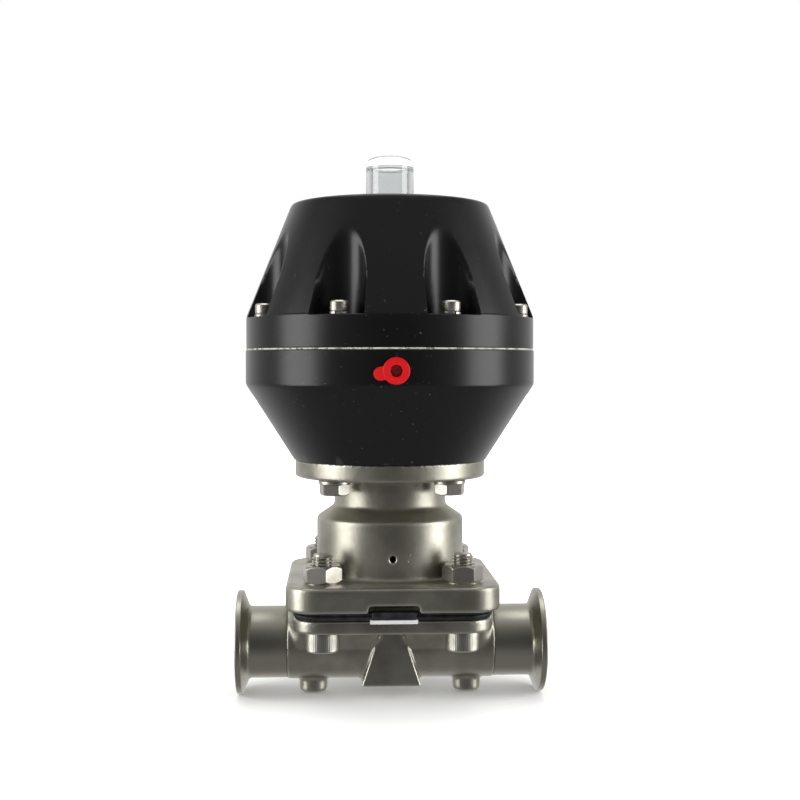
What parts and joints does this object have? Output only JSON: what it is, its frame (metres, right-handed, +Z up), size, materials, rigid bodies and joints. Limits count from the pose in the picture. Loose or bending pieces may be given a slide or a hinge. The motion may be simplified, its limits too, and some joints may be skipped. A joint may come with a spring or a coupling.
{
  "type": "diaphragm valve",
  "caption": "Pneumatic spring-to-close weir diaphragm valve with clamp ferrule ends, cast stainless body and bonnet, and a black cone-shaped membrane actuator.",
  "frame": {"origin": "middle of the two bosses under the body, on their flat ends; the pipe axis runs 24 mm above it", "axes": "+X along the pipe to the outlet, -Y to the front where the air port is, +Z up along the spindle to the sight dome"},
  "size_m": [0.15, 0.1431, 0.2632],
  "materials": {
    "cast_stainless": "bead-blasted investment casting",
    "machined_stainless": "blasted tube with turned bright rim",
    "fastener_steel": "bright, as rolled",
    "turned_steel": "turned",
    "spring_steel": "oiled wire",
    "casing_coating": "satin black coating on cast aluminium",
    "epdm": "moulded rubber",
    "membrane_fabric": "fabric-reinforced rubber",
    "ptfe": "skived fluoropolymer sheet",
    "bearing_bronze": "turned bronze",
    "clear_dome": "clear moulded polycarbonate",
    "red_plastic": "glossy moulded polyethylene"
  },
  "bodies": {
    "housing": {"valve_body": "cast_stainless", "inlet_ferrule": "machined_stainless", "outlet_ferrule": "machined_stainless", "diaphragm_face": "ptfe", "diaphragm_backing": "epdm", "bonnet": "cast_stainless", "body_screws": "fastener_steel", "flange_nuts": "fastener_steel", "neck_washers": "fastener_steel", "neck_bolts": "fastener_steel", "casing_screws": "fastener_steel", "casing_screw_washers": "fastener_steel", "spindle_bush": "bearing_bronze", "spindle_seals": "epdm", "lower_casing": "casing_coating", "upper_casing": "casing_coating", "actuator_membrane": "membrane_fabric", "outer_spring": "spring_steel", "inner_spring": "spring_steel", "sight_dome": "clear_dome", "dome_seal": "epdm"},
    "stem": {"spindle": "turned_steel", "compressor": "turned_steel", "compressor_pin": "turned_steel", "diaphragm_stud": "turned_steel", "lower_membrane_plate": "turned_steel", "upper_membrane_plate": "turned_steel", "spindle_nut": "fastener_steel", "indicator_rod": "turned_steel"},
    "plug": {"air_port_plug": "red_plastic"}
  },
  "joints": [
    {"name": "stem_travel", "type": "slide", "parent": "housing", "child": "stem", "axis": [0, 0, 1], "range_m": [0, 0.015], "stiffness_N_per_m": 20000, "springref_m": -0.02, "deforming": ["outer_spring", "inner_spring", "actuator_membrane", "diaphragm_backing", "diaphragm_face"]},
    {"name": "plug_pull", "type": "slide", "parent": "housing", "child": "plug", "axis": [0, -1, 0], "range_m": [0, 0.012]}
  ]
}
